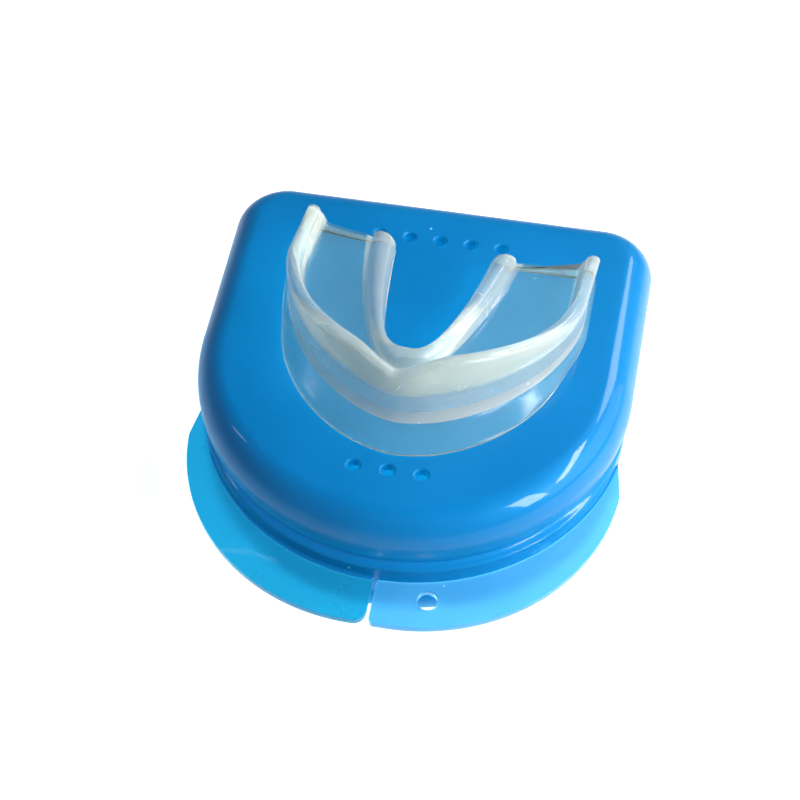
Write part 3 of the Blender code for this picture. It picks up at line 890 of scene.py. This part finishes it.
# what every plastic here has unless its own dictionary says otherwise
plasticLook = {
    "tintScale": 45,           # slow change between tint and tintOther
    "ripple": 0.08,            # waviness of the moulded surface
    "speckScale": 420,
    "speckSize": 0.10,
    "speckShare": 0.03,
    "scratchWidth": 0.012,
    "scratchRoughness": 0.2,
    "specularTint": (0.15, 0.6, 1.0),
    "coatRoughness": 0.012,
}
casePlastic = {
    **plasticLook,
    "tint": (0.0, 0.15, 0.35),
    "tintOther": (0.0, 0.165, 0.38),
    "speckTint": (0.2, 0.6, 0.9),
    "roughness": 0.40,
    "transmission": 0.50,
    "specular": 0.1,
    "coat": 0.20,
    "ior": 1.4,
    "lampTint": (0.95, 0.98, 0.995),
}
baseTabPlastic = {
    **casePlastic,
    "tint": (0.06, 0.31, 0.52),
    "tintOther": (0.075, 0.335, 0.55),
    "roughness": 0.26,
    "transmission": 0.66,
    "lampTint": (0.97, 0.99, 1.0),
}
# the left half's tab is the same tab plastic with a darker tint: painted shade for the left side, which
# gets less light
lidTabPaintedShadePlastic = {
    **baseTabPlastic,
    "tint": (0.010, 0.26, 0.42),
    "tintOther": (0.013, 0.28, 0.45),
}
pinPlastic = {
    **casePlastic,
    "tint": (0.01, 0.20, 0.55),
    "tintOther": (0.01, 0.23, 0.60),
    "roughness": 0.3,
    "transmission": 0.2,
}
guardThick = {
    **plasticLook,
    "tint": (0.64, 0.65, 0.56),
    "tintOther": (0.68, 0.69, 0.59),
    "tintScale": 160,
    "ripple": 0.12,
    "speckTint": (1.0, 1.0, 1.0),
    "speckScale": 520,
    "speckSize": 0.16,
    "speckShare": 0.05,
    "scratchWidth": 0.004,
    "scratchRoughness": 0.1,
    "roughness": 0.2,
    "transmission": 0.82,
    "specular": 0.4,
    "specularTint": (1.0, 1.0, 1.0),
    "coat": 0.1,
    "coatRoughness": 0.12,
    "ior": 1.25,
    "lampTint": (0.93, 0.95, 0.94),
}
guardBand = {
    **guardThick,
    "tint": (0.60, 0.54, 0.42),
    "tintOther": (0.64, 0.58, 0.46),
    "transmission": 0.72,
    "roughness": 0.3,
}
guardThin = {
    **guardThick,
    "tint": (0.60, 0.76, 0.68),
    "tintOther": (0.64, 0.79, 0.71),
    "roughness": 0.12,
    "transmission": 0.975,
    "specular": 0.1,
    "coat": 0.02,
    "ior": 1.18,
    "lampTint": (0.97, 0.98, 0.98),
}


def markTabFaces(item, tabMaterial):
    # the faces of the thin tab take the lighter tint
    item.data.materials.append(tabMaterial)
    half = tabForm["thickness"] / 2
    for face in item.data.polygons:
        centre = face.center
        outside = math.hypot(centre.x, centre.y - arcCentreY) - frontRadius
        if centre.y < arcCentreY and outside > -0.0001 and abs(centre.z - jointZ) < half + 0.0001:
            face.material_index = 1


# build
lid = makeLid()
base = makeBase()
pins = makePins()
guard = makeGuard()
print("pieces modelled")

caseMaterial = makePlastic("casePlastic", casePlastic)
# the lid's tab takes the darker tab tint, which is painted shade
tabs = ((lid, "lidTabPaintedShadePlastic", lidTabPaintedShadePlastic), (base, "baseTabPlastic", baseTabPlastic))
for shellPiece, name, look in tabs:
    shellPiece.data.materials.append(caseMaterial)
    markTabFaces(shellPiece, makePlastic(name, look))
pinMaterial = makePlastic("pinPlastic", pinPlastic)
for pin in pins:
    pin.data.materials.append(pinMaterial)
guard.data.materials.append(makePlastic("guardThick", guardThick))
guard.data.materials.append(makePlastic("guardThin", guardThin))
guard.data.materials.append(makePlastic("guardBand", guardBand))
print("materials made")

# studio
studio = {
    "floorSize": 6.0,
    "floorColour": (0.90, 0.91, 0.92),
    "worldStrength": 0.48,
    "patchAzimuth": 178,
    "patchElevation": 50,
    "patchOuter": 75,
    "patchInner": 26,
    "patchStrength": 0.2,
    "lightsAim": (0.026, -0.022, 0.038),
    # azimuth, elevation, distance, roll, (width, height), power
    "lights": {
        "frontWindow": (63.5, 30, 0.40, 4, (0.085, 0.20), 2.2),
        "sideWindow": (99.6, 42, 0.40, 36.6, (0.30, 0.04), 1.9),
        "leftLamp": (-96, 39, 0.60, 0, (0.03, 0.10), 0.12),
        "backLight": (150, 38, 0.30, 0, (0.10, 0.10), 0.55),
        "rightFill": (100, 20, 0.20, 0, (0.24, 0.12), 0.32),
        "topStrip": (-172, 64, 0.50, 0, (0.5, 0.006), 0.03),
    },
    "cameraTarget": (-0.0029, 0.00215, 0.01255),
    "cameraDistance": 0.2802,
    "cameraAzimuth": 10.43,
    "cameraElevation": 51.99,
    "lens": 66.6,
}


def makeFloor():
    half = studio["floorSize"] / 2
    mesh = bpy.data.meshes.new("floor")
    corners = [(-half, -half, 0), (half, -half, 0), (half, half, 0), (-half, half, 0)]
    mesh.from_pydata(corners, [], [(0, 1, 2, 3)])
    floor = addObject("floor", mesh)
    material, nodes, links, shader, output = newMaterial("palePaper")
    shader.inputs["Base Color"].default_value = (*studio["floorColour"], 1)
    shader.inputs["Roughness"].default_value = 0.8
    links.new(shader.outputs["BSDF"], output.inputs["Surface"])
    mesh.materials.append(material)


def areaLight(name, azimuth, elevation, distance, roll, size, power):
    # azimuth 0 stands in front of the case, 90 to its right
    across, up = math.radians(azimuth), math.radians(elevation)
    direction = Vector((math.sin(across) * math.cos(up), -math.cos(across) * math.cos(up), math.sin(up)))
    light = bpy.data.lights.new(name, "AREA")
    light.shape = "RECTANGLE"
    light.size, light.size_y = size
    light.energy = power
    item = addObject(name, light)
    item.location = Vector(studio["lightsAim"]) + direction * distance
    facing = (-direction).to_track_quat("-Z", "Y") @ Quaternion((0, 0, 1), math.radians(roll))
    item.rotation_euler = facing.to_euler()


def darkenBehind(tree):
    # pale all round, with a dark patch high behind the case, so that its flat top doesn't mirror white
    nodes, links = tree.nodes, tree.links
    place = nodes.new("ShaderNodeTexCoord")
    towards = nodes.new("ShaderNodeVectorMath")
    towards.operation = "DOT_PRODUCT"
    across, up = math.radians(studio["patchAzimuth"]), math.radians(studio["patchElevation"])
    towards.inputs[1].default_value = (
        math.sin(across) * math.cos(up), -math.cos(across) * math.cos(up), math.sin(up))
    fade = nodes.new("ShaderNodeMapRange")
    fade.interpolation_type = "SMOOTHSTEP"
    fade.inputs["From Min"].default_value = math.cos(math.radians(studio["patchOuter"]))
    fade.inputs["From Max"].default_value = math.cos(math.radians(studio["patchInner"]))
    fade.inputs["To Min"].default_value = studio["worldStrength"]
    fade.inputs["To Max"].default_value = studio["patchStrength"]
    links.new(place.outputs["Generated"], towards.inputs[0])
    links.new(towards.outputs["Value"], fade.inputs["Value"])
    background = nodes["Background"]
    background.inputs["Color"].default_value = (1, 1, 1, 1)
    links.new(fade.outputs["Result"], background.inputs["Strength"])


def makeCamera():
    azimuth, elevation = math.radians(studio["cameraAzimuth"]), math.radians(studio["cameraElevation"])
    direction = Vector((math.sin(azimuth) * math.cos(elevation),
                        -math.cos(azimuth) * math.cos(elevation), math.sin(elevation)))
    data = bpy.data.cameras.new("camera")
    data.lens = studio["lens"]
    data.sensor_width = 36
    data.clip_start = 0.01
    camera = addObject("camera", data)
    target = Vector(studio["cameraTarget"])
    camera.location = target + direction * studio["cameraDistance"]
    camera.rotation_euler = (-direction).to_track_quat("-Z", "Y").to_euler()
    bpy.context.scene.camera = camera


makeFloor()
for name, (azimuth, elevation, distance, roll, size, power) in studio["lights"].items():
    areaLight(name, azimuth, elevation, distance, roll, size, power)
world = bpy.data.worlds.new("studioWorld")
world.use_nodes = True
darkenBehind(world.node_tree)
bpy.context.scene.world = world
bpy.context.scene.view_settings.view_transform = "Standard"
makeCamera()
print("studio ready")
